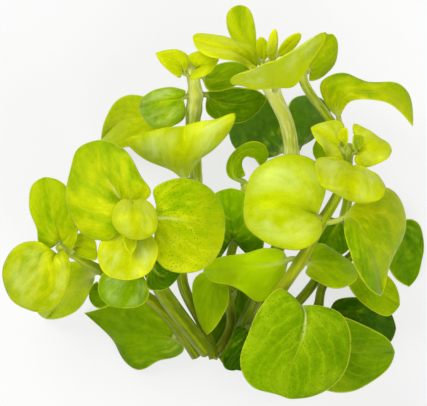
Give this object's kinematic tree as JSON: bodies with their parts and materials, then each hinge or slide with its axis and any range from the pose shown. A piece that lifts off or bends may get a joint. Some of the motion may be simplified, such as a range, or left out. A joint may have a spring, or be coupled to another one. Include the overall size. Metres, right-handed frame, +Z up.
{
  "type": "creeping jenny",
  "caption": "Loose cut tuft of golden creeping jenny with round leaves in pairs on soft stems, lying on its back on a surface.",
  "frame": {"origin": "on the surface that the tuft lies on, under the middle of its box", "axes": "+X to the tuft's right, +Y from the cut ends to the leafy tops, +Z up from the surface"},
  "size_m": [0.0862, 0.0783, 0.0499],
  "materials": {
    "stem": "smooth satin, yellow-green",
    "young_leaf": "satin, bright yellow-green",
    "leaf": "satin, fresh green",
    "old_leaf": "satin, dark green",
    "bud": "satin, pale yellow-green"
  },
  "bodies": {
    "root": {"bud_a_pale": "bud", "bud_a_point": "bud", "bud_a_round": "bud", "bud_d_far": "bud", "bud_d_near": "bud", "bud_f": "bud", "leaf_a_back_left": "old_leaf", "leaf_a_back_right": "old_leaf", "leaf_a_boat": "young_leaf", "leaf_a_left": "young_leaf", "leaf_a_top": "young_leaf", "leaf_b_back": "old_leaf", "leaf_b_drape": "leaf", "leaf_b_low": "old_leaf", "leaf_b_tip": "leaf", "leaf_d_arch": "young_leaf", "leaf_d_behind": "leaf", "leaf_d_bright": "leaf", "leaf_d_drape": "leaf", "leaf_d_foot": "leaf", "leaf_d_left": "young_leaf", "leaf_d_low": "leaf", "leaf_d_right": "young_leaf", "leaf_d_round": "young_leaf", "leaf_f_bottom": "young_leaf", "leaf_f_left": "young_leaf", "leaf_f_right": "young_leaf", "leaf_f_side": "old_leaf", "leaf_f_top": "young_leaf", "leaf_f_under": "old_leaf", "leaf_g_back": "leaf", "leaf_g_behind": "leaf", "leaf_g_foot": "leaf", "leaf_g_round": "young_leaf", "leaf_g_small": "leaf", "leaf_g_up": "young_leaf", "leaf_h_bent": "leaf", "leaf_h_dark": "old_leaf", "leaf_h_far": "leaf", "leaf_h_front": "young_leaf", "leaf_h_olive": "leaf", "leaf_h_tip_left": "young_leaf", "leaf_h_tip_right": "young_leaf", "leaf_m_dark": "old_leaf", "leaf_m_far": "old_leaf", "leaf_m_low": "leaf", "leaf_n_back": "old_leaf", "leaf_n_curl": "leaf", "leaf_n_hang": "leaf", "leaf_n_low": "old_leaf", "leaf_n_middle": "old_leaf", "stem_a": "stem", "stem_b": "stem", "stem_d": "stem", "stem_f": "stem", "stem_g": "stem", "stem_h": "stem", "stem_m": "stem", "stem_n": "stem"}
  },
  "joints": []
}
